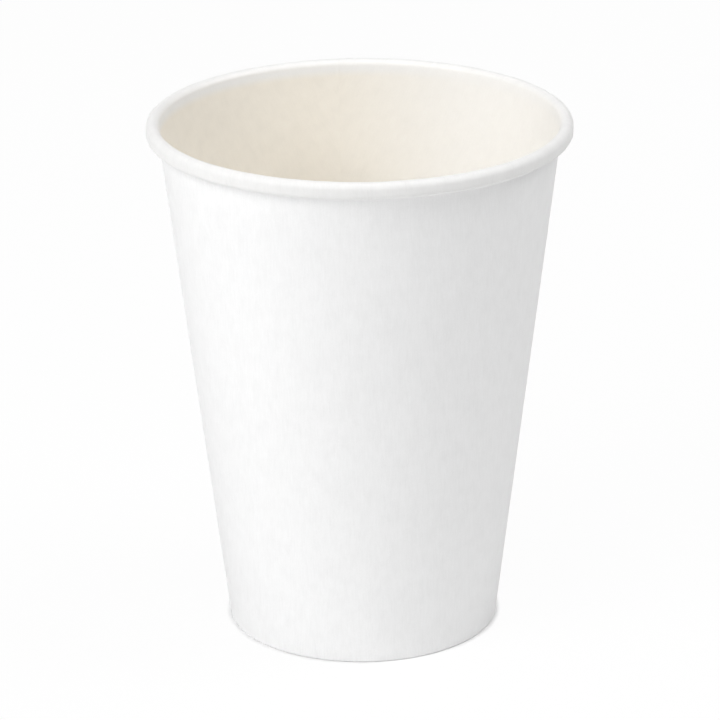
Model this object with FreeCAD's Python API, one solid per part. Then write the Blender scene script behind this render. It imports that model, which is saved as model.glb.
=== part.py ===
import FreeCAD, Part
import math
import os

# A plain white paper cup for hot drinks, empty and without its lid.
#
# It is made of two pieces of board. The side wall is one blank, rolled into a cone, lapped and
# sealed down one side, rolled outwards at the top and folded inwards at the foot. The floor is a
# disc with a turned-down skirt, which the fold at the foot grips.
#
# Lengths are in millimetres and angles in degrees. The origin is the centre of the circle that
# the cup stands on, and +Z goes up through the middle of the mouth. The pieces are drawn in the
# XZ plane, where X is the distance from the cup's axis, and turned about that axis.

# The three sizes that such a cup is ordered by. The base is measured on the wall's outer face,
# carried down to the ground.
rim_diameter = 90.0
base_diameter = 58.0
cup_height = 112.5

# The two boards, and the film's thickness between faces that are sealed to each other
wall_board = 0.40
floor_board = 0.30
seal_gap = 0.03

# The rolled rim: its size across and from top to bottom, the space between its turns, and how
# far the hidden edge turns on inside it
curl_width = 2.8
curl_height = 3.6
curl_gap = 0.15
curl_tuck_angle = 75.0

# The foot: how far the floor lies above the ground, how sharply its edge turns down, and how far
# the folded hem stops below that turn
floor_recess = 8.5
floor_bend_radius = 0.5
hem_clearance = 1.0

# The side seam: how wide the two edges lap, how far the outer ply takes to come down past the
# inner ply's edge, and where the lap's middle lies, counted from +X towards +Y. Inside the cup,
# the melted film part fills the hollow beside that edge, and leaves a groove of this size.
seam_lap = 8.0
seam_ramp = 1.6
seam_azimuth = 90.0
seam_groove_width = 1.0
seam_groove_depth = 0.2

AXIS_FOOT = FreeCAD.Vector(0, 0, 0)
UP = FreeCAD.Vector(0, 0, 1)
FULL_TURN = 360.0
QUARTER_TURN = 90.0

base_radius = base_diameter / 2
fold_space = floor_board + 2 * seal_gap
hem_height = floor_recess - floor_bend_radius - hem_clearance
curl_radius = curl_width / 2


def section_point(distance, height):
    """A point of the section, at a distance from the cup's axis and a height above the ground."""
    return FreeCAD.Vector(distance, 0, height)


curl_centre = section_point(rim_diameter / 2 - curl_radius, cup_height - curl_radius)


def wall_lean():
    """How far the wall leans out from upright, so that it runs into the rim's roll smoothly."""
    across = curl_centre.x - base_radius
    up = curl_centre.z
    aim = math.atan2(across, up)
    return aim - math.asin((curl_radius - wall_board) / math.hypot(across, up))


lean = wall_lean()
lean_degrees = math.degrees(lean)
up_the_wall = section_point(math.sin(lean), math.cos(lean))
into_the_cup = section_point(-math.cos(lean), math.sin(lean))


def ply_point(depth, height):
    """The point at a height that lies at a depth inwards, square to it, from the wall's outer face."""
    return section_point(base_radius + (height * math.sin(lean) - depth) / math.cos(lean), height)


def line(start, end):
    return Part.LineSegment(start, end).toShape()


def bend(centre, radius, start_angle, turn):
    """A round stretch of the section, from an angle above +X and through a turn, less than 0 if clockwise."""
    angles = [math.radians(start_angle + turn * share) for share in (0, 0.5, 1)]
    points = [centre + section_point(math.cos(a), math.sin(a)) * radius for a in angles]
    return Part.Arc(*points).toShape()


def turned(outline):
    """The solid that a closed outline sweeps when it turns about the cup's axis."""
    return Part.Face(Part.Wire(outline)).revolve(AXIS_FOOT, UP, FULL_TURN)


# The roll's lower round is a little narrower than its top, because the board passes inside the
# wall there, to lie along it with a gap.
tuck_radius = curl_radius - wall_board - curl_gap
lower_radius = (
    tuck_radius + curl_radius * math.cos(lean) + (curl_height - curl_radius) * math.sin(lean)
) / (1 + math.cos(lean) + math.sin(lean))
lower_centre = section_point(
    rim_diameter / 2 - lower_radius,
    cup_height - curl_height + lower_radius,
)


def rolled_face(inset):
    """One face of the board in the rolled rim, from the wall to the hidden edge.

    An inset of nothing gives the face that shows, and one of the board's thickness the other.
    """
    top = curl_radius - inset
    bottom = lower_radius - inset
    tuck = tuck_radius - inset
    outward = section_point(1, 0)
    return [
        bend(curl_centre, top, 2 * QUARTER_TURN - lean_degrees, lean_degrees - 2 * QUARTER_TURN),
        line(curl_centre + outward * top, lower_centre + outward * bottom),
        bend(lower_centre, bottom, 0, -2 * QUARTER_TURN - lean_degrees),
        line(lower_centre + into_the_cup * bottom, curl_centre + into_the_cup * tuck),
        bend(curl_centre, tuck, 2 * QUARTER_TURN - lean_degrees, -curl_tuck_angle),
    ]


def wall_outline():
    """The side wall's board in section, from the hem's free edge down, up the wall and round the rim."""
    hem_face = wall_board + fold_space
    wall_corner = ply_point(wall_board, wall_board)
    hem_corner = ply_point(hem_face, wall_board)
    hem_edge = ply_point(hem_face, hem_height)
    hem_edge_inside = ply_point(hem_face + wall_board, hem_height)
    drop = section_point(0, -wall_board)
    inner_roll = rolled_face(0)
    outer_roll = rolled_face(wall_board)
    return [
        line(hem_edge, hem_corner),
        line(hem_corner, wall_corner),
        line(wall_corner, curl_centre + into_the_cup * curl_radius),
        *inner_roll,
        line(inner_roll[-1].Vertexes[-1].Point, outer_roll[-1].Vertexes[-1].Point),
        *reversed(outer_roll),
        line(
            curl_centre + into_the_cup * (curl_radius - wall_board),
            wall_corner - into_the_cup * wall_board,
        ),
        bend(wall_corner, wall_board, -lean_degrees, lean_degrees - QUARTER_TURN),
        line(wall_corner + drop, hem_corner + drop),
        bend(hem_corner, wall_board, -QUARTER_TURN, -QUARTER_TURN - lean_degrees),
        line(hem_corner + into_the_cup * wall_board, hem_edge_inside),
        line(hem_edge_inside, hem_edge),
    ]


def seam_point(depth, height, along):
    """A point beside the seam: a depth from the wall's outer face, and a distance round from the lap's middle."""
    radius = ply_point(depth, height).x
    angle = math.radians(seam_azimuth) + along / radius
    return FreeCAD.Vector(radius * math.cos(angle), radius * math.sin(angle), height)


def seam_arc(depth, height, start, end):
    points = [seam_point(depth, height, along) for along in (start, (start + end) / 2, end)]
    return Part.Arc(*points).toShape()


def lapped_ply(face_depth, outward, low, high):
    """The outer ply over a lap, which stands one board proud of a face and slopes off past the inner edge.

    outward is 1 for a face that looks away from the cup's axis, and -1 for one that looks at it.
    """
    proud = face_depth - outward * wall_board
    rooted = face_depth + outward * wall_board / 2
    cut_edge = -seam_lap / 2
    inner_edge = seam_lap / 2
    slope_end = inner_edge + seam_ramp
    wires = []
    for height in (low, high):
        wires.append(
            Part.Wire(
                [
                    line(
                        seam_point(rooted, height, cut_edge),
                        seam_point(proud, height, cut_edge),
                    ),
                    seam_arc(proud, height, cut_edge, inner_edge),
                    line(
                        seam_point(proud, height, inner_edge),
                        seam_point(face_depth, height, slope_end),
                    ),
                    line(
                        seam_point(face_depth, height, slope_end),
                        seam_point(rooted, height, slope_end),
                    ),
                    seam_arc(rooted, height, slope_end, cut_edge),
                ]
            )
        )
    return Part.makeLoft(wires, True, True)


def lap_groove(low, high):
    """The narrow groove on the inner face, from the inner ply's cut edge to where it runs out."""
    clear_of_face = wall_board
    inner_edge = seam_lap / 2
    groove_end = inner_edge + seam_groove_width
    wires = []
    for height in (low, high):
        corners = [
            seam_point(wall_board + clear_of_face, height, inner_edge),
            seam_point(wall_board - seam_groove_depth, height, inner_edge),
            seam_point(wall_board, height, groove_end),
            seam_point(wall_board + clear_of_face, height, groove_end),
        ]
        wires.append(Part.makePolygon(corners + corners[:1]))
    return Part.makeLoft(wires, True, True)


def roll_underside():
    """The height at which the lapped ply comes up against the roll, with a gap left between them."""
    offset = lower_radius + curl_gap - wall_board
    reach = math.sqrt((lower_radius + curl_gap) ** 2 - offset**2)
    return lower_centre.z - reach * math.cos(lean)


def side_wall():
    wall = turned(wall_outline())
    hem_inside = 2 * wall_board + fold_space
    wall_lap = lapped_ply(0, 1, wall_board, roll_underside())
    hem_lap = lapped_ply(hem_inside, -1, wall_board, hem_height)
    groove = lap_groove(wall_board, curl_centre.z)
    return wall.fuse([wall_lap, hem_lap]).cut(groove).removeSplitter()


def bottom_disc():
    """The floor's board: a flat disc whose edge turns down into a skirt between the wall and the hem."""
    outer_bend = floor_bend_radius + floor_board
    skirt_face = wall_board + seal_gap
    skirt_end = wall_board + seal_gap
    bend_height = floor_recess - floor_bend_radius
    bend_centre = ply_point(skirt_face + outer_bend, bend_height)
    top = section_point(bend_centre.x, floor_recess + floor_board)
    underside = section_point(bend_centre.x, floor_recess)
    skirt_outer_end = ply_point(skirt_face, skirt_end)
    skirt_inner_end = ply_point(skirt_face + floor_board, skirt_end)
    turn_down = -QUARTER_TURN - lean_degrees
    return turned(
        [
            line(section_point(0, top.z), top),
            bend(bend_centre, outer_bend, QUARTER_TURN, turn_down),
            line(bend_centre - into_the_cup * outer_bend, skirt_outer_end),
            line(skirt_outer_end, skirt_inner_end),
            line(skirt_inner_end, bend_centre - into_the_cup * floor_bend_radius),
            bend(bend_centre, floor_bend_radius, -lean_degrees, -turn_down),
            line(underside, section_point(0, underside.z)),
            line(section_point(0, underside.z), section_point(0, top.z)),
        ]
    )


pieces = {
    "side_wall": side_wall(),
    "bottom_disc": bottom_disc(),
}

os.makedirs("parts", exist_ok=True)
for name, solid in pieces.items():
    solid.exportStep(os.path.join("parts", name + ".step"))
    box = solid.BoundBox
    print(
        name,
        "solids", len(solid.Solids),
        "valid", solid.isValid(),
        "volume", round(solid.Volume, 1),
        "from", round(box.XMin, 3), round(box.YMin, 3), round(box.ZMin, 3),
        "to", round(box.XMax, 3), round(box.YMax, 3), round(box.ZMax, 3),
    )
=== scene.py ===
import math

import bpy
import numpy as np
from mathutils import Matrix, Vector


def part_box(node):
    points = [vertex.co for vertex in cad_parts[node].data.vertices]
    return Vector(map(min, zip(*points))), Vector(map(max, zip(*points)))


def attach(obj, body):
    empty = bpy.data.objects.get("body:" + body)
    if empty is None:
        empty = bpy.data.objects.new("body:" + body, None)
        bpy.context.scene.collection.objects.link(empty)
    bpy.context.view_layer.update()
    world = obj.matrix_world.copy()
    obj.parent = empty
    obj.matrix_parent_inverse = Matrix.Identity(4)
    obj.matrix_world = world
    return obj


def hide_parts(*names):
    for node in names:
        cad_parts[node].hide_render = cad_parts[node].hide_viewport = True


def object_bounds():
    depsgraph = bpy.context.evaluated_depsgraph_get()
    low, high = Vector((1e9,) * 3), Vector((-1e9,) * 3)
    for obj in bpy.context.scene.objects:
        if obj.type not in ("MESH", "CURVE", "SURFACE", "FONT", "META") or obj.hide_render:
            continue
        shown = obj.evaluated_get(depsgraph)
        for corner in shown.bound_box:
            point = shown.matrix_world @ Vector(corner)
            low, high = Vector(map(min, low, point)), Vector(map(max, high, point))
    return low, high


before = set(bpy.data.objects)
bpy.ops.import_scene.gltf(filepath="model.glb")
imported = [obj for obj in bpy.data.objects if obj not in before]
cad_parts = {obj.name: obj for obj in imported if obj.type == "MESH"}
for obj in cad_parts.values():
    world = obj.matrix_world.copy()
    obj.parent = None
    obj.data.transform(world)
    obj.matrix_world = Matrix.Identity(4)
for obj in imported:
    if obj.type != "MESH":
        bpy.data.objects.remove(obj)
cad_low, cad_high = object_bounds()

# A plain white paper cup. The wall is one board, rolled into a cone, lapped at the back, rolled
# outwards at the rim and folded in at the foot. The floor is a disc whose skirt the fold grips.
# Lengths are in metres and angles in radians. A section is drawn as distances from the cup's axis
# and heights, and an azimuth counts from +X towards +Y.
MM = 0.001
HALF_TURN = math.pi
QUARTER_TURN = math.pi / 2

# How far the rim strays from its drawn form, kept inside the solid's own size
RIM_STRAY = 0.06 * MM

wall_low, wall_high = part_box("side_wall")
CUP_HEIGHT = wall_high.z - RIM_STRAY
RIM_RADIUS = min(wall_high.x, wall_high.y, -wall_low.x, -wall_low.y) - RIM_STRAY

# The boards
BASE_RADIUS = 29.0 * MM
WALL_BOARD = 0.40 * MM
FLOOR_BOARD = 0.30 * MM
SEAL_GAP = 0.03 * MM
FOLD_SPACE = FLOOR_BOARD + 2 * SEAL_GAP

# The rolled rim
CURL_RADIUS = 1.4 * MM
CURL_HEIGHT = 3.6 * MM
CURL_GAP = 0.15 * MM
CURL_TUCK_ANGLE = math.radians(75)

# The foot
FLOOR_RECESS = 8.5 * MM
FLOOR_BEND_RADIUS = 0.5 * MM
HEM_HEIGHT = 7.0 * MM

# The side seam
SEAM_AZIMUTH = math.radians(90)
SEAM_LAP = 8.0 * MM
SEAM_RAMP = 1.6 * MM
GROOVE_WIDTH = 1.0 * MM
GROOVE_DEPTH = 0.05 * MM
CUT_EDGE = 0.02 * MM
# How much of the groove is left where the pressing of the roll has flattened it
GROOVE_ON_ROLL = 0.4

# The meshes' fineness: columns round the cup, and the angle past which an edge is sharp
COLUMNS = 540
FLOOR_COLUMNS = 300
SHARP_ANGLE = math.radians(38)

# How many steps each stretch of a section is drawn in. The roll has five stretches.
WALL_INSIDE_STEPS = 30
WALL_OUTSIDE_STEPS = 34
UNDER_ROLL_STEPS = 2
ROLL_SHOWN_STEPS = (22, 4, 20, 2, 4)
ROLL_HIDDEN_STEPS = (6, 1, 8, 1, 3)
FOOT_BEND_STEPS = 7
HEM_STEPS = 5
RIBBED_STEPS = 14
FLOOR_STEPS = 24
FLOOR_OUTER_BEND_STEPS = 8
FLOOR_INNER_BEND_STEPS = 6
SKIRT_STEPS = 4

# What each face of a board is: its coated side, its plain side or a cut edge
COATED, PLAIN, CUT = 0, 1, 2

# How much of the seam's step a stretch takes, at its start and at its end
NO_LAP = (0.0, 0.0)
WHOLE_LAP = (1.0, 1.0)


def section_point(distance, height):
    return np.array([distance, height])


def smooth_step(low, high, values):
    share = np.clip((values - low) / (high - low), 0, 1)
    return share * share * (3 - 2 * share)


curl_centre = section_point(RIM_RADIUS - CURL_RADIUS, CUP_HEIGHT - CURL_RADIUS)
curl_offset = curl_centre[0] - BASE_RADIUS
LEAN = math.atan2(curl_offset, curl_centre[1]) - math.asin(
    (CURL_RADIUS - WALL_BOARD) / math.hypot(curl_offset, curl_centre[1])
)
INTO_THE_CUP = section_point(-math.cos(LEAN), math.sin(LEAN))

tuck_radius = CURL_RADIUS - WALL_BOARD - CURL_GAP
lower_radius = (
    tuck_radius + CURL_RADIUS * math.cos(LEAN) + (CURL_HEIGHT - CURL_RADIUS) * math.sin(LEAN)
) / (1 + math.cos(LEAN) + math.sin(LEAN))
lower_centre = section_point(RIM_RADIUS - lower_radius, CUP_HEIGHT - CURL_HEIGHT + lower_radius)


def ply_point(depth, height):
    """The section's point at a height, at a depth inwards from the wall's outer face."""
    return section_point(BASE_RADIUS + (height * math.sin(LEAN) - depth) / math.cos(LEAN), height)


class Outline:
    """A closed section of board, as a list of points.

    Each point has the way out of the board, the kind of the face that starts there, how much of
    the seam's step it takes, and its place along the flat blank, counted up from the foot's fold.
    """

    def __init__(self):
        self.points = []
        self.outward = []
        self.kinds = []
        self.laps = []
        self.along = []

    def add(self, point, outward, kind, lap, along):
        self.points.append(point)
        self.outward.append(outward)
        self.kinds.append(kind)
        self.laps.append(lap)
        self.along.append(along)

    def straight(self, start, end, steps, outward, kind, along, laps=NO_LAP):
        for share in np.linspace(0, 1, steps + 1)[:-1]:
            lap = laps[0] + (laps[1] - laps[0]) * share
            place = along[0] + (along[1] - along[0]) * share
            self.add(start + (end - start) * share, outward, kind, lap, place)

    def round(self, centre, radius, start, turn, steps, side, kind, along, laps=NO_LAP):
        for share in np.linspace(0, 1, steps + 1)[:-1]:
            angle = start + turn * share
            away = section_point(math.cos(angle), math.sin(angle))
            lap = laps[0] + (laps[1] - laps[0]) * share
            place = along[0] + (along[1] - along[0]) * share
            self.add(centre + away * radius, away * side, kind, lap, place)


def length(start, end):
    return float(np.linalg.norm(end - start))


wall_corner = ply_point(WALL_BOARD, WALL_BOARD)
roll_start = curl_centre + INTO_THE_CUP * CURL_RADIUS
WALL_LENGTH = length(wall_corner, roll_start)

# The roll's stretches on the blank: over the top, down the outer flank, round below, up inside
# the wall and round to the hidden edge
TOP_LENGTH = CURL_RADIUS * (HALF_TURN - LEAN)
FLANK_LENGTH = curl_centre[1] - lower_centre[1]
BOTTOM_LENGTH = lower_radius * (HALF_TURN + LEAN)
RISE_LENGTH = length(
    lower_centre + INTO_THE_CUP * lower_radius, curl_centre + INTO_THE_CUP * tuck_radius
)
TUCK_LENGTH = tuck_radius * CURL_TUCK_ANGLE


def roll_stretches(inset):
    """The five stretches of one face of the rolled board: form, shape and length on the blank.

    A round one's shape is its centre, radius, first angle and turn. A straight one's shape is its
    two ends and the way out of the board.
    """
    top = CURL_RADIUS - inset
    bottom = lower_radius - inset
    tuck = tuck_radius - inset
    out = section_point(1, 0)
    flank = (curl_centre + out * top, lower_centre + out * bottom, out)
    rise = (lower_centre + INTO_THE_CUP * bottom, curl_centre + INTO_THE_CUP * tuck, INTO_THE_CUP)
    return [
        ("round", (curl_centre, top, HALF_TURN - LEAN, LEAN - HALF_TURN), TOP_LENGTH),
        ("straight", flank, FLANK_LENGTH),
        ("round", (lower_centre, bottom, 0.0, -HALF_TURN - LEAN), BOTTOM_LENGTH),
        ("straight", rise, RISE_LENGTH),
        ("round", (curl_centre, tuck, HALF_TURN - LEAN, -CURL_TUCK_ANGLE), TUCK_LENGTH),
    ]


def add_roll(outline, inset, kind, side, steps, laps):
    """Adds one face of the roll, from the wall to the hidden edge, or back where side is -1."""
    along = WALL_LENGTH
    stretches = []
    for stretch, count, lap in zip(roll_stretches(inset), steps, laps):
        on_blank = stretch[-1]
        stretches.append((stretch, count, lap, (along, along + on_blank)))
        along += on_blank
    if side < 0:
        stretches.reverse()
    for (form, shape, _), count, lap, places in stretches:
        places = places[::side]
        if form == "straight":
            *ends, outward = shape
            start, end = ends[::side]
            outline.straight(start, end, count, outward * side, kind, places, lap)
        else:
            centre, radius, start, turn = shape
            if side < 0:
                start, turn = start + turn, -turn
            outline.round(centre, radius, start, turn, count, side, kind, places, lap)


def wall_outline():
    """The wall's board in section: up its coated face, round the roll, and down its plain face."""
    outline = Outline()
    up = section_point(0, 1)
    out_of_the_cup = -INTO_THE_CUP
    hem_face = WALL_BOARD + FOLD_SPACE
    hem_corner = ply_point(hem_face, WALL_BOARD)
    hem_edge = ply_point(hem_face, HEM_HEIGHT)
    hem_edge_inside = ply_point(hem_face + WALL_BOARD, HEM_HEIGHT)
    drop = section_point(0, -WALL_BOARD)
    hem_end = -FOLD_SPACE - length(hem_corner, hem_edge)

    places = (hem_end, -FOLD_SPACE)
    outline.straight(hem_edge, hem_corner, HEM_STEPS, out_of_the_cup, COATED, places)
    outline.straight(hem_corner, wall_corner, 1, up, COATED, (-FOLD_SPACE, 0))
    places = (0, WALL_LENGTH)
    outline.straight(
        wall_corner, roll_start, WALL_INSIDE_STEPS, INTO_THE_CUP, COATED, places, WHOLE_LAP
    )
    kept = GROOVE_ON_ROLL
    roll_laps = [(1.0, kept), (kept, kept), (kept, 0.0), NO_LAP, NO_LAP]
    add_roll(outline, 0.0, COATED, 1, ROLL_SHOWN_STEPS, roll_laps)

    tip = HALF_TURN - LEAN - CURL_TUCK_ANGLE
    away = section_point(math.cos(tip), math.sin(tip))
    onward = section_point(math.sin(tip), -math.cos(tip))
    blank_end = outline.along[-1] + TUCK_LENGTH / ROLL_SHOWN_STEPS[-1]
    outline.straight(
        curl_centre + away * tuck_radius,
        curl_centre + away * (tuck_radius - WALL_BOARD),
        1,
        onward,
        CUT,
        (blank_end, blank_end),
    )
    no_laps = [NO_LAP] * len(ROLL_HIDDEN_STEPS)
    add_roll(outline, WALL_BOARD, PLAIN, -1, ROLL_HIDDEN_STEPS, no_laps)

    under_roll = ply_point(0, CUP_HEIGHT - CURL_HEIGHT + CURL_GAP)
    foot_start = wall_corner - INTO_THE_CUP * WALL_BOARD
    plain_top = curl_centre + INTO_THE_CUP * (CURL_RADIUS - WALL_BOARD)
    places = (WALL_LENGTH, length(foot_start, under_roll))
    outline.straight(plain_top, under_roll, UNDER_ROLL_STEPS, out_of_the_cup, PLAIN, places)
    places = (places[1], 0)
    outline.straight(
        under_roll, foot_start, WALL_OUTSIDE_STEPS, out_of_the_cup, PLAIN, places, WHOLE_LAP
    )
    add_foot_fold(outline, drop, hem_corner)
    places = (-FOLD_SPACE, hem_end)
    outline.straight(
        hem_corner + INTO_THE_CUP * WALL_BOARD,
        hem_edge_inside,
        RIBBED_STEPS,
        INTO_THE_CUP,
        PLAIN,
        places,
        WHOLE_LAP,
    )
    outline.straight(hem_edge_inside, hem_edge, 1, up, CUT, (hem_end, hem_end))
    return outline


# The least share of a bend's way out that is taken to point down, so that nothing is divided by 0
LEAST_DOWN = 0.05


def add_foot_bend(outline, centre, start, turn, along):
    """Adds one outer bend of the foot's fold, where the lapped ply thins out above the ground."""
    for share in np.linspace(0, 1, FOOT_BEND_STEPS + 1)[:-1]:
        angle = start + turn * share
        away = section_point(math.cos(angle), math.sin(angle))
        down = max(-away[1], LEAST_DOWN)
        lap = min(1.0, (1 - down) / down)
        outline.add(centre + away * WALL_BOARD, away, PLAIN, lap, along)


def add_foot_fold(outline, drop, hem_corner):
    """Adds the outer face of the fold at the foot: a bend, the flat that stands, and a bend."""
    flat = section_point(0, -1)
    add_foot_bend(outline, wall_corner, -LEAN, LEAN - QUARTER_TURN, 0.0)
    outline.straight(wall_corner + drop, hem_corner + drop, 1, flat, PLAIN, (0, -FOLD_SPACE))
    add_foot_bend(outline, hem_corner, -QUARTER_TURN, -(QUARTER_TURN + LEAN), -FOLD_SPACE)


def column_angles():
    """The columns round the cup: even ones, and close pairs that make the seam's cut edges sharp."""
    radius = (BASE_RADIUS + RIM_RADIUS) / 2
    cut_edge = SEAM_AZIMUTH - SEAM_LAP / 2 / radius
    inner_edge = SEAM_AZIMUTH + SEAM_LAP / 2 / radius
    groove_end = inner_edge + GROOVE_WIDTH / radius
    slope_end = inner_edge + SEAM_RAMP / radius
    width = CUT_EDGE / radius
    special = [cut_edge - width, cut_edge, inner_edge, inner_edge + width, groove_end, slope_end]
    clear = math.tau / COLUMNS / 2
    even = [
        angle
        for angle in np.arange(COLUMNS) * math.tau / COLUMNS
        if min(abs(angle - edge) for edge in special) > clear
    ]
    return np.array(sorted(even + special)), special


ANGLES, SEAM_ANGLES = column_angles()
CUT_FOOT, CUT_TOP, INNER_TOP, INNER_FOOT, GROOVE_END, SLOPE_END = SEAM_ANGLES
JUST_BELOW = 1e-9


def outer_lap():
    """1 where the outer ply lies on the inner one, falling to 0 where it comes down past its edge."""
    over = np.clip((SLOPE_END - ANGLES) / (SLOPE_END - INNER_TOP), 0, 1)
    return np.where(ANGLES > CUT_TOP - JUST_BELOW, over, 0.0)


def inner_groove():
    """1 at the inner ply's edge, on the inner face, falling to 0 where the groove runs out."""
    depth = np.clip((GROOVE_END - ANGLES) / (GROOVE_END - INNER_FOOT), 0, 1)
    return np.where(ANGLES > INNER_FOOT - JUST_BELOW, depth, 0.0)


# Each uneven field has its counts of waves round the cup and the seed of its random draws. A
# wave's strength is drawn from a range, and the wall's waves also drift sideways up the cup.
OVAL_WAVES = ((2, 3), 3)
WALL_WAVES = (range(5, 27), 11)
SWAY_WAVES = (range(4, 40), 17)
LIFT_WAVES = (range(3, 30), 19)
SWELL_WAVES = (range(6, 70), 23)
WALL_DRIFT = 2.6
WAVE_STRENGTHS = (0.5, 1.0)


def waves(angles, heights, counts, seed, drift=0.0):
    """A smooth uneven field round the cup, between -1 and 1, made of waves that close on themselves."""
    random = np.random.default_rng(seed)
    total = np.zeros(np.broadcast(angles, heights).shape)
    for count in counts:
        phase = random.uniform(0, math.tau)
        slant = random.normal(0, drift)
        strength = random.uniform(*WAVE_STRENGTHS) / math.sqrt(count)
        total += strength * np.cos(count * angles + phase + slant * heights / CUP_HEIGHT)
    return total / np.abs(total).max()


# How far the paper strays: the cone is a little out of round, its wall is a little wavy between
# the stiff rim and foot, and the roll is uneven in place and in size
OUT_OF_ROUND = 0.05 * MM
WALL_WAVE = 0.02 * MM
ROLL_SWAY = 0.03 * MM
ROLL_SWELL = 0.022
SEAM_BULGE = 0.03 * MM

# How squarely the bulge at the seam ends at the lap's two edges
SEAM_BULGE_POWER = 4

# The roll's unevenness fades out down the wall, from the roll's foot to here below the rim
ROLL_REACH = 3 * CURL_HEIGHT

# The ribs pressed into the hem
KNURL_PITCH = 1.5 * MM
KNURL_DEPTH = 0.07 * MM
KNURL_LOW = 0.8 * MM
KNURL_HIGH = HEM_HEIGHT - 0.5 * MM
KNURL_FADE = 0.8 * MM


def stray(distance, height, angles):
    """Moves points of the wall to where the uneven paper has them."""
    rise = smooth_step(0.0, CUP_HEIGHT, height)
    panel = np.clip(np.sin(HALF_TURN * height / (CUP_HEIGHT - CURL_HEIGHT)), 0, 1)
    near_roll = smooth_step(CUP_HEIGHT - ROLL_REACH, CUP_HEIGHT - CURL_HEIGHT, height)
    oval = waves(angles, 0 * height, *OVAL_WAVES)
    wave = waves(angles, height, *WALL_WAVES, WALL_DRIFT)
    sway = waves(angles, 0 * height, *SWAY_WAVES)
    lift = waves(angles, 0 * height, *LIFT_WAVES)
    seam = np.exp(-(((angles - SEAM_AZIMUTH) * RIM_RADIUS / (SEAM_LAP / 2)) ** SEAM_BULGE_POWER))
    outward = OUT_OF_ROUND * oval * rise + WALL_WAVE * wave * panel
    outward = outward + near_roll * (ROLL_SWAY * sway + SEAM_BULGE * seam)
    upward = near_roll * ROLL_SWAY * lift
    return distance + outward, height + upward


def swell_roll(distance, height, angles, on_roll):
    """Makes the roll a little fatter here and thinner there, about its own middle."""
    swell = waves(angles, 0 * height, *SWELL_WAVES) * ROLL_SWELL * on_roll
    middle = (curl_centre + lower_centre) / 2
    return (
        distance + (distance - middle[0]) * (swell - ROLL_SWELL * on_roll / 2),
        height + (height - middle[1]) * (swell - ROLL_SWELL * on_roll / 2),
    )


def blank_places(along, angles, joint):
    """Where points lie on the flat blank, which is a sector of a ring. The joint is the seam's azimuth."""
    from_apex = wall_corner[0] / math.sin(LEAN) + along
    past_joint = np.mod(angles - joint, math.tau)
    turn = (past_joint - HALF_TURN) * math.sin(LEAN)
    return from_apex * np.sin(turn), from_apex * np.cos(turn)


def mesh_object(name, vertices, faces, kinds, materials, blank, rolled):
    mesh = bpy.data.meshes.new(name)
    mesh.from_pydata(vertices.tolist(), [], faces)
    for material in materials:
        mesh.materials.append(material)
    mesh.polygons.foreach_set("material_index", kinds)
    mesh.attributes.new("blank", "FLOAT_VECTOR", "POINT").data.foreach_set("vector", blank.ravel())
    mesh.attributes.new("rolled", "FLOAT", "POINT").data.foreach_set("value", rolled.ravel())
    mesh.update()
    mesh.shade_smooth()
    mesh.set_sharp_from_angle(angle=SHARP_ANGLE)
    piece = bpy.data.objects.new(name, mesh)
    bpy.context.scene.collection.objects.link(piece)
    return piece


def seam_lift(is_plain):
    """How far the seam moves each face of the board outwards, where it takes the seam's whole step."""
    over = WALL_BOARD * outer_lap()[None]
    groove = GROOVE_DEPTH * inner_groove()[None]
    return np.where(is_plain, over, -groove)


def hem_ribs(in_hem, height, angles):
    """The fine upright ribs that the tool presses into the hem's inner face."""
    ribs = 0.5 + 0.5 * np.cos(angles * round(math.tau * BASE_RADIUS / KNURL_PITCH))
    rise = smooth_step(KNURL_LOW, KNURL_LOW + KNURL_FADE, height)
    fall = 1 - smooth_step(KNURL_HIGH - KNURL_FADE, KNURL_HIGH, height)
    return np.where(in_hem, KNURL_DEPTH * ribs * rise * fall, 0.0)


def wall_faces(kinds, columns):
    """The wall's four-sided faces, and what kind each one is: the outer ply ends in a cut edge."""
    rows = len(kinds)
    cut_column = int(np.flatnonzero(ANGLES == CUT_FOOT)[0])
    faces = []
    face_kinds = []
    for row in range(rows):
        here, after = row * columns, (row + 1) % rows * columns
        for column in range(columns):
            beside = (column + 1) % columns
            faces.append((here + column, after + column, after + beside, here + beside))
            is_cut = kinds[row] == PLAIN and column == cut_column
            face_kinds.append(CUT if is_cut else int(kinds[row]))
    return faces, face_kinds


def build_wall(materials):
    outline = wall_outline()
    points = np.array(outline.points)
    outward = np.array(outline.outward)
    kinds = np.array(outline.kinds)
    laps = np.array(outline.laps)[:, None]
    along = np.array(outline.along)[:, None]
    angles = ANGLES[None]

    is_plain = (kinds == PLAIN)[:, None]
    in_hem = is_plain & (along < -FOLD_SPACE - WALL_BOARD)
    lift = seam_lift(is_plain) * laps - hem_ribs(in_hem, points[:, 1, None], angles)
    distance = points[:, 0, None] + outward[:, 0, None] * lift
    height = points[:, 1, None] + outward[:, 1, None] * lift

    on_roll = smooth_step(0.0, TOP_LENGTH / 2, along - WALL_LENGTH)
    distance, height = swell_roll(distance, height, angles, on_roll)
    distance, height = stray(distance, height, angles)
    vertices = np.stack([distance * np.cos(angles), distance * np.sin(angles), height], axis=-1)

    joint = np.where(is_plain, CUT_TOP, INNER_FOOT) - JUST_BELOW
    across, down = blank_places(along, angles, joint)
    blank = np.stack([across, down, np.broadcast_to(is_plain, across.shape) * 1.0], axis=-1)
    rolled = np.broadcast_to(along - WALL_LENGTH, across.shape)
    faces, face_kinds = wall_faces(kinds, len(ANGLES))
    return mesh_object(
        "rolled_wall", vertices.reshape(-1, 3), faces, face_kinds, materials, blank, rolled
    )


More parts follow.
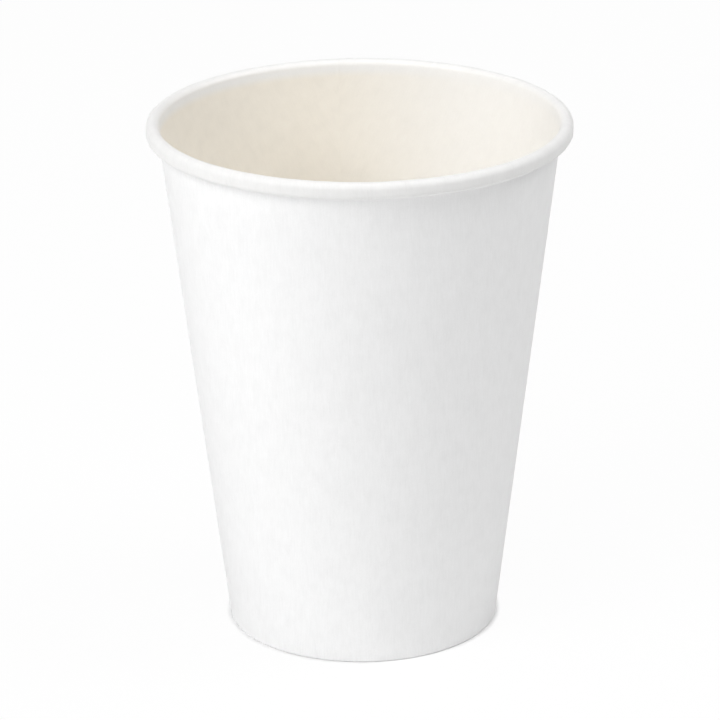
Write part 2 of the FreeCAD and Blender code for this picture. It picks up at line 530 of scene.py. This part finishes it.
def floor_outline():
    """The floor's board in section, from the middle of its top, round its skirt, to the middle below."""
    outline = Outline()
    outer_bend = FLOOR_BEND_RADIUS + FLOOR_BOARD
    skirt_face = WALL_BOARD + SEAL_GAP
    skirt_end = WALL_BOARD + SEAL_GAP
    bend_centre = ply_point(skirt_face + outer_bend, FLOOR_RECESS - FLOOR_BEND_RADIUS)
    up = section_point(0, 1)
    top = section_point(bend_centre[0], FLOOR_RECESS + FLOOR_BOARD)
    underside = section_point(bend_centre[0], FLOOR_RECESS)
    turn = -QUARTER_TURN - LEAN
    outer_start = bend_centre - INTO_THE_CUP * outer_bend
    inner_start = bend_centre - INTO_THE_CUP * FLOOR_BEND_RADIUS
    outer_end = ply_point(skirt_face, skirt_end)
    inner_end = ply_point(skirt_face + FLOOR_BOARD, skirt_end)
    bend_end = top[0] - outer_bend * turn
    edge = bend_end + length(outer_start, outer_end)
    top_middle = section_point(0, top[1])
    under_middle = section_point(0, underside[1])

    outline.straight(top_middle, top, FLOOR_STEPS, up, COATED, (0, top[0]))
    places = (top[0], bend_end)
    steps = FLOOR_OUTER_BEND_STEPS
    outline.round(bend_centre, outer_bend, QUARTER_TURN, turn, steps, 1, COATED, places)
    places = (bend_end, edge)
    outline.straight(outer_start, outer_end, SKIRT_STEPS, -INTO_THE_CUP, COATED, places)
    outline.straight(outer_end, inner_end, 1, -up, CUT, (edge, edge))
    places = (edge, bend_end)
    outline.straight(inner_end, inner_start, SKIRT_STEPS, INTO_THE_CUP, PLAIN, places)
    places = (bend_end, underside[0])
    steps = FLOOR_INNER_BEND_STEPS
    outline.round(bend_centre, FLOOR_BEND_RADIUS, -LEAN, -turn, steps, -1, PLAIN, places)
    outline.straight(underside, under_middle, FLOOR_STEPS, -up, PLAIN, (underside[0], 0))
    outline.add(under_middle, -up, PLAIN, 0.0, 0.0)
    return outline


def build_floor(materials):
    outline = floor_outline()
    points = np.array(outline.points)
    kinds = outline.kinds
    along = np.array(outline.along)
    angles = np.arange(FLOOR_COLUMNS) * math.tau / FLOOR_COLUMNS
    columns = len(angles)
    ring = points[1:-1]
    x = ring[:, 0, None] * np.cos(angles)[None]
    y = ring[:, 0, None] * np.sin(angles)[None]
    z = np.repeat(ring[:, 1, None], columns, axis=1)
    body = np.stack([x, y, z], axis=-1).reshape(-1, 3)
    poles = np.array([(0, 0, points[0, 1]), (0, 0, points[-1, 1])])
    vertices = np.vstack([body, poles])
    top_pole, bottom_pole = len(body), len(body) + 1
    flat_x = along[1:-1, None] * np.cos(angles)[None]
    flat_y = along[1:-1, None] * np.sin(angles)[None]
    flat = np.stack([flat_x, flat_y, np.zeros_like(flat_x)], axis=-1).reshape(-1, 3)
    blank = np.vstack([flat, np.zeros((2, 3))])
    rolled = np.full(len(vertices), -WALL_LENGTH)
    faces = []
    face_kinds = []
    for column in range(columns):
        beside = (column + 1) % columns
        faces.append((top_pole, column, beside))
        face_kinds.append(kinds[0])
        for row in range(len(ring) - 1):
            here, after = row * columns, (row + 1) * columns
            faces.append((here + column, after + column, after + beside, here + beside))
            face_kinds.append(kinds[row + 1])
        last = (len(ring) - 1) * columns
        faces.append((last + beside, last + column, bottom_pole))
        face_kinds.append(PLAIN)
    return mesh_object("recessed_floor", vertices, faces, face_kinds, materials, blank, rolled)


# The boards' colours. The inside is creamier on the side towards -X, on the camera's left. That extra cream
# is painted warm light, standing in for light bounced inside the cup and shone through the lit wall.
PLAIN_COLOUR = (0.933, 0.933, 0.933)
INNER_COLOUR = (0.982, 0.969, 0.943)
# partly the board's own cream, partly painted warm light on that side
CREAM_AND_PAINTED_WARM_LIGHT_COLOUR = (0.985, 0.938, 0.852)
NECK_COLOUR = (0.970, 0.963, 0.948)
ROLL_COLOUR = (0.872, 0.868, 0.860)
CUT_COLOUR = (0.83, 0.80, 0.74)

# Where that painted warm light gives way to the board's plainer cream, as places along X
PAINTED_WARM_LIGHT_START = -14.0 * MM
PAINTED_WARM_LIGHT_END = 28.0 * MM

# Where the coated side loses its cream under the roll, and where it turns to the roll's colour,
# both counted from the roll's start
NECK_START = -2.8 * MM
NECK_END = -0.4 * MM
ROLL_COLOUR_START = 0.3 * MM
ROLL_COLOUR_END = 2.0 * MM

# How each side of the board takes the light
PLAIN_SHINE = 0.25
PLAIN_ROUGHNESS = (0.62, 0.78)
COATED_SHINE = 0.25
COATED_ROUGHNESS = (0.41, 0.51)
CUT_SHINE = 0.2
CUT_ROUGHNESS = 0.9

# The paper's grain: fibres, streaks along the machine direction and cloudy formation
MICRON = 0.001 * MM
FIBRE = 0.26 * MM
FIBRE_STRETCH = 1.6
STREAK_WIDTH = 0.30 * MM
STREAK_LENGTH = 3.0 * MM
CLOUD = 2.6 * MM
CLOUD_STRETCH = 1.5

# How each noise is made: how many finer layers it has, and how strong each is beside the last
FIBRE_LAYERS = (3.0, 0.6)
STREAK_LAYERS = (2.0, 0.5)
CLOUD_LAYERS = (3.0, 0.55)
WRINKLE_LAYERS = (2.0, 0.6)
GROUP_LAYERS = (1.0, 0.5)
CUT_LAYERS = (3.0, 0.7)

# How much the grain shows, as a share of the colour either way and as a height
PLAIN_TONES = (0.040, 0.045, 0.034)
PLAIN_HEIGHTS = (7 * MICRON, 11 * MICRON, 24 * MICRON)
COATED_TONES = (0.030, 0.026, 0.045)
COATED_HEIGHTS = (3 * MICRON, 4 * MICRON, 20 * MICRON)

# The fine cross wrinkles of the roll, which come in groups. Their relief is a bump; their darker tone is
# painted shade in the creases.
WRINKLE_WIDTH = 0.42 * MM
WRINKLE_LENGTH = 5.0 * MM
WRINKLE_HEIGHT = 30 * MICRON
WRINKLE_PAINTED_SHADE = 0.030
GROUP_WIDTH = 5.0 * MM
GROUP_LENGTH = 12.0 * MM

# The noise values over which a wrinkle deepens and a group sets in, and what is left between groups
WRINKLE_ONSET = (0.45, 0.70)
GROUP_ONSET = (0.48, 0.66)
BETWEEN_GROUPS = 0.1

# The fibres of a cut edge: how big, how much they show and how high they stand
CUT_FIBRES = (0.12 * MM, 0.12 * MM, 0.05 * MM)
CUT_TONES = (0.92, 1.04)
CUT_HEIGHT = 12 * MICRON

# Where the mix node keeps its sockets for colours
MIX_SHARE, MIX_FIRST, MIX_SECOND, MIX_RESULT = 0, 6, 7, 2


class Recipe:
    """A node tree in the making, with short ways to add to it."""

    def __init__(self, owner):
        owner.use_nodes = True
        self.owner = owner
        self.tree = owner.node_tree

    def add(self, kind, output, inputs, **settings):
        """Adds a node with its settings, feeds its inputs, and returns one of its outputs."""
        node = self.tree.nodes.new(kind)
        for name, value in settings.items():
            setattr(node, name, value)
        for name, value in inputs.items():
            self.feed(node.inputs[name], value)
        return node.outputs[output]

    def feed(self, socket, value):
        if isinstance(value, bpy.types.NodeSocket):
            self.tree.links.new(value, socket)
        else:
            socket.default_value = value

    def attribute(self, name, output):
        return self.add("ShaderNodeAttribute", output, {}, attribute_name=name)

    def noise(self, places, sizes, layers):
        """Noise between 0 and 1, whose grains have these sizes along the three axes."""
        detail, roughness = layers
        scale = tuple(1 / size for size in sizes)
        stretched = self.add("ShaderNodeMapping", "Vector", {"Vector": places, "Scale": scale})
        inputs = {"Vector": stretched, "Scale": 1.0, "Detail": detail, "Roughness": roughness}
        return self.add("ShaderNodeTexNoise", 0, inputs)

    def math(self, operation, first, second):
        return self.add("ShaderNodeMath", 0, {0: first, 1: second}, operation=operation)

    def spread(self, value, low, high, start=0.0, end=1.0, kind="LINEAR"):
        """Takes a value's range from start to end onto low to high."""
        inputs = {"Value": value, "From Min": start, "From Max": end, "To Min": low, "To Max": high}
        return self.add("ShaderNodeMapRange", 0, inputs, interpolation_type=kind)

    def mix(self, share, first, second):
        """Goes from the first colour to the second as the share goes from 0 to 1."""
        inputs = {MIX_SHARE: share, MIX_FIRST: first, MIX_SECOND: second}
        return self.add("ShaderNodeMix", MIX_RESULT, inputs, data_type="RGBA")

    def dim(self, colour, share):
        """The colour times a value that varies from place to place."""
        node = self.tree.nodes.new("ShaderNodeVectorMath")
        node.operation = "SCALE"
        self.feed(node.inputs[0], colour)
        self.feed(node.inputs["Scale"], share)
        return node.outputs["Vector"]

    def bump(self, height, distance, under=None):
        inputs = {"Height": height, "Distance": distance, "Strength": 1.0}
        if under is not None:
            inputs["Normal"] = under
        return self.add("ShaderNodeBump", "Normal", inputs)

    def finish(self, colour, roughness, normal, specular):
        shader = self.tree.nodes["Principled BSDF"]
        self.feed(shader.inputs["Base Color"], colour)
        self.feed(shader.inputs["Roughness"], roughness)
        self.feed(shader.inputs["Normal"], normal)
        shader.inputs["Specular IOR Level"].default_value = specular
        return self.owner


def paper_grain(recipe, places):
    """The three patterns that paperboard has: its fibres, its streaks and its clouds."""
    fibres = recipe.noise(places, (FIBRE, FIBRE * FIBRE_STRETCH, FIBRE), FIBRE_LAYERS)
    streaks = recipe.noise(places, (STREAK_WIDTH, STREAK_LENGTH, CLOUD), STREAK_LAYERS)
    clouds = recipe.noise(places, (CLOUD, CLOUD * CLOUD_STRETCH, CLOUD), CLOUD_LAYERS)
    return fibres, streaks, clouds


def grain_shade(recipe, grain, tones):
    """The grain as a factor on the colour, near 1."""
    shade = 1.0
    for pattern, tone in zip(grain, tones):
        shade = recipe.math("ADD", recipe.spread(pattern, -tone, tone), shade)
    return shade


def grain_relief(recipe, grain, heights):
    normal = None
    for pattern, height in zip(grain, heights):
        normal = recipe.bump(pattern, height, normal)
    return normal


def plain_board():
    """The uncoated outer side: matt, neutral white, with a fine grain up the cup."""
    recipe = Recipe(bpy.data.materials.new("plain_board"))
    grain = paper_grain(recipe, recipe.attribute("blank", "Vector"))
    colour = recipe.dim(PLAIN_COLOUR, grain_shade(recipe, grain, PLAIN_TONES))
    roughness = recipe.spread(grain[0], *PLAIN_ROUGHNESS)
    normal = grain_relief(recipe, grain, PLAIN_HEIGHTS)
    return recipe.finish(colour, roughness, normal, PLAIN_SHINE)


def coated_tint(recipe, rolled):
    """Creamy inside the cup, with extra cream on one side that is painted warm light, and whiter where the
    board is stretched over the roll.
    """
    round_the_cup = recipe.add("ShaderNodeTexCoord", "Object", {})
    sideways = recipe.add("ShaderNodeSeparateXYZ", "X", {"Vector": round_the_cup})
    # the extra cream towards -X is painted warm light, not the board's own colour
    to_the_right = recipe.spread(sideways, 0.0, 1.0, PAINTED_WARM_LIGHT_START, PAINTED_WARM_LIGHT_END, "SMOOTHSTEP")
    inside = recipe.mix(to_the_right, (*CREAM_AND_PAINTED_WARM_LIGHT_COLOUR, 1), (*INNER_COLOUR, 1))
    at_neck = recipe.spread(rolled, 0.0, 1.0, NECK_START, NECK_END, "SMOOTHSTEP")
    over_roll = recipe.spread(rolled, 0.0, 1.0, ROLL_COLOUR_START, ROLL_COLOUR_END, "SMOOTHSTEP")
    to_neck = recipe.mix(at_neck, inside, (*NECK_COLOUR, 1))
    return recipe.mix(over_roll, to_neck, (*ROLL_COLOUR, 1))


def roll_wrinkles(recipe, places, rolled):
    """The roll's cross wrinkles, between 0 and 1, and 0 off the roll."""
    wrinkles = recipe.noise(places, (WRINKLE_WIDTH, WRINKLE_LENGTH, CLOUD), WRINKLE_LAYERS)
    groups = recipe.noise(places, (GROUP_WIDTH, GROUP_LENGTH, CLOUD), GROUP_LAYERS)
    gathered = recipe.spread(groups, BETWEEN_GROUPS, 1.0, *GROUP_ONSET, "SMOOTHSTEP")
    on_roll = recipe.spread(rolled, 0.0, 1.0, 0.0, CURL_RADIUS, "SMOOTHSTEP")
    creases = recipe.spread(wrinkles, 0.0, 1.0, *WRINKLE_ONSET, "SMOOTHSTEP")
    return recipe.math("MULTIPLY", creases, recipe.math("MULTIPLY", gathered, on_roll))


def coated_board():
    """The coated inner side, which the roll turns to the outside."""
    recipe = Recipe(bpy.data.materials.new("coated_board"))
    places = recipe.attribute("blank", "Vector")
    rolled = recipe.attribute("rolled", "Fac")
    grain = paper_grain(recipe, places)
    creases = roll_wrinkles(recipe, places, rolled)
    shade = grain_shade(recipe, grain, COATED_TONES)
    # darkens the colour in the creases: painted shade in the wrinkles
    shade = recipe.math("SUBTRACT", shade, recipe.math("MULTIPLY", creases, WRINKLE_PAINTED_SHADE))
    colour = recipe.dim(coated_tint(recipe, rolled), shade)
    roughness = recipe.spread(grain[2], *COATED_ROUGHNESS)
    normal = grain_relief(recipe, grain, COATED_HEIGHTS)
    normal = recipe.bump(creases, -WRINKLE_HEIGHT, normal)
    return recipe.finish(colour, roughness, normal, COATED_SHINE)


def cut_board():
    """A cut edge, where the board's fibres and layers show."""
    recipe = Recipe(bpy.data.materials.new("cut_board"))
    places = recipe.add("ShaderNodeTexCoord", "Object", {})
    fibres = recipe.noise(places, CUT_FIBRES, CUT_LAYERS)
    colour = recipe.dim(CUT_COLOUR, recipe.spread(fibres, *CUT_TONES))
    normal = recipe.bump(fibres, CUT_HEIGHT)
    return recipe.finish(colour, CUT_ROUGHNESS, normal, CUT_SHINE)


boards = [coated_board(), plain_board(), cut_board()]

wall = build_wall(boards)
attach(wall, "root")
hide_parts("side_wall")

floor_disc = build_floor(boards)
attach(floor_disc, "root")
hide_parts("bottom_disc")


# The camera, fitted to the photograph's outline of the cup. Its pixels count from the top left.
PHOTO_WIDTH = 720.0
SENSOR_WIDTH = 36.0
FOCAL_PIXELS = 4111.1
CAMERA_DISTANCE = 883.7 * MM
CAMERA_ELEVATION = 0.3635
CAMERA_ROLL = -0.0076
CUP_MIDDLE_PIXEL = (361.51, 367.32)
CAMERA_NEAR = 0.01
CAMERA_FAR = 10.0


def add_camera():
    data = bpy.data.cameras.new("camera")
    data.sensor_width = SENSOR_WIDTH
    data.lens = FOCAL_PIXELS / PHOTO_WIDTH * SENSOR_WIDTH
    data.clip_start = CAMERA_NEAR
    data.clip_end = CAMERA_FAR
    camera = bpy.data.objects.new("camera", data)
    bpy.context.scene.collection.objects.link(camera)
    bpy.context.scene.camera = camera
    middle = Vector((0, 0, cad_high.z / 2))
    back = Vector((0, -math.cos(CAMERA_ELEVATION), math.sin(CAMERA_ELEVATION)))
    camera.location = middle + back * CAMERA_DISTANCE
    forward = -back
    level = Vector((1, 0, 0))
    steep = level.cross(forward)
    right = level * math.cos(CAMERA_ROLL) + steep * math.sin(CAMERA_ROLL)
    up = steep * math.cos(CAMERA_ROLL) - level * math.sin(CAMERA_ROLL)

    # the swing that takes the cup's middle from the picture's middle to its own pixel
    half = PHOTO_WIDTH / 2
    aim = Vector((CUP_MIDDLE_PIXEL[0] - half, half - CUP_MIDDLE_PIXEL[1], FOCAL_PIXELS))
    swing = Vector((0, 0, 1)).rotation_difference(aim.normalized()).to_matrix()
    x_axis, y_axis, view = (right * row[0] + up * row[1] + forward * row[2] for row in swing)
    camera.rotation_mode = "QUATERNION"
    camera.rotation_quaternion = Matrix((x_axis, y_axis, -view)).transposed().to_quaternion()


# The light: an even pale room, and wide lamps. Each lamp has the way it lies from the cup, as an
# angle to the right of the camera's side and an angle above level, and its power in watts.
ROOM_LIGHT = 0.05
LAMPS = (
    ("key", math.radians(-49), math.radians(38), 11.2),
    ("left", math.radians(-95), math.radians(22), 2.9),
    ("front", math.radians(-10), math.radians(18), 3.75),
    ("right", math.radians(90), math.radians(48), 9.8),
    ("overhead", 0.0, math.radians(85), 6.2),
)
LAMP_DISTANCE = 1.5
LAMP_SIZE = 1.0

# The pale ground. To the eye it is nearly white. Only in a narrow ring about the foot does it show
# as it is, with the dark line of contact.
GROUND_COLOUR = 0.94
GROUND_HALF = 3.0
GROUND_DROP = 0.02 * MM
WHITE_SHARE = 0.95
CONTACT_SHARE = 0.0
CONTACT_WIDTH = 1.2 * MM


def add_lamp(name, azimuth, elevation, power):
    data = bpy.data.lights.new(name, "AREA")
    data.shape = "DISK"
    data.size = LAMP_SIZE
    data.energy = power
    lamp = bpy.data.objects.new(name, data)
    level = math.cos(elevation)
    away = Vector((level * math.sin(azimuth), -level * math.cos(azimuth), math.sin(elevation)))
    middle = Vector((0, 0, CUP_HEIGHT / 2))
    lamp.location = middle + away * LAMP_DISTANCE
    lamp.rotation_mode = "QUATERNION"
    lamp.rotation_quaternion = away.to_track_quat("Z", "Y")
    bpy.context.scene.collection.objects.link(lamp)


def seen_directly(recipe):
    """1 for the rays that look straight at the backdrop, or by way of a gloss or through glass."""
    path = recipe.tree.nodes.new("ShaderNodeLightPath")
    seen = recipe.math("MAXIMUM", path.outputs["Is Camera Ray"], path.outputs["Is Glossy Ray"])
    return recipe.math("MAXIMUM", seen, path.outputs["Is Transmission Ray"])


def add_ground():
    """The pale floor, white to the eye, which keeps the cup's shadow."""
    recipe = Recipe(bpy.data.materials.new("white_ground"))
    nodes, links = recipe.tree.nodes, recipe.tree.links
    nodes.remove(nodes["Principled BSDF"])
    pale = (GROUND_COLOUR, GROUND_COLOUR, GROUND_COLOUR, 1)
    diffuse = recipe.add("ShaderNodeBsdfDiffuse", 0, {"Color": pale})
    white = recipe.add("ShaderNodeEmission", 0, {"Strength": 1.0})
    places = recipe.add("ShaderNodeTexCoord", "Object", {})
    from_axis = recipe.add("ShaderNodeVectorMath", "Value", {0: places}, operation="LENGTH")
    whitened = recipe.spread(
        from_axis, CONTACT_SHARE, WHITE_SHARE, BASE_RADIUS, BASE_RADIUS + CONTACT_WIDTH, "SMOOTHSTEP"
    )
    share = recipe.math("MULTIPLY", seen_directly(recipe), whitened)
    mixed = recipe.add("ShaderNodeMixShader", 0, {0: share, 1: diffuse, 2: white})
    links.new(mixed, nodes["Material Output"].inputs["Surface"])

    mesh = bpy.data.meshes.new("ground")
    corners = [(-1, -1), (1, -1), (1, 1), (-1, 1)]
    mesh.from_pydata([(x * GROUND_HALF, y * GROUND_HALF, 0) for x, y in corners], [], [(0, 1, 2, 3)])
    mesh.materials.append(recipe.owner)
    ground = bpy.data.objects.new("ground", mesh)
    ground.location.z = -GROUND_DROP
    bpy.context.scene.collection.objects.link(ground)


def add_room():
    """Even light from all round, which the eye sees as plain white."""
    world = bpy.data.worlds.new("studio")
    bpy.context.scene.world = world
    recipe = Recipe(world)
    background = recipe.tree.nodes["Background"]
    background.inputs["Color"].default_value = (1, 1, 1, 1)
    strength = recipe.spread(seen_directly(recipe), ROOM_LIGHT, 1.0)
    recipe.feed(background.inputs["Strength"], strength)


add_camera()
add_ground()
add_room()
for lamp in LAMPS:
    add_lamp(*lamp)

bpy.context.scene.view_settings.view_transform = "Standard"
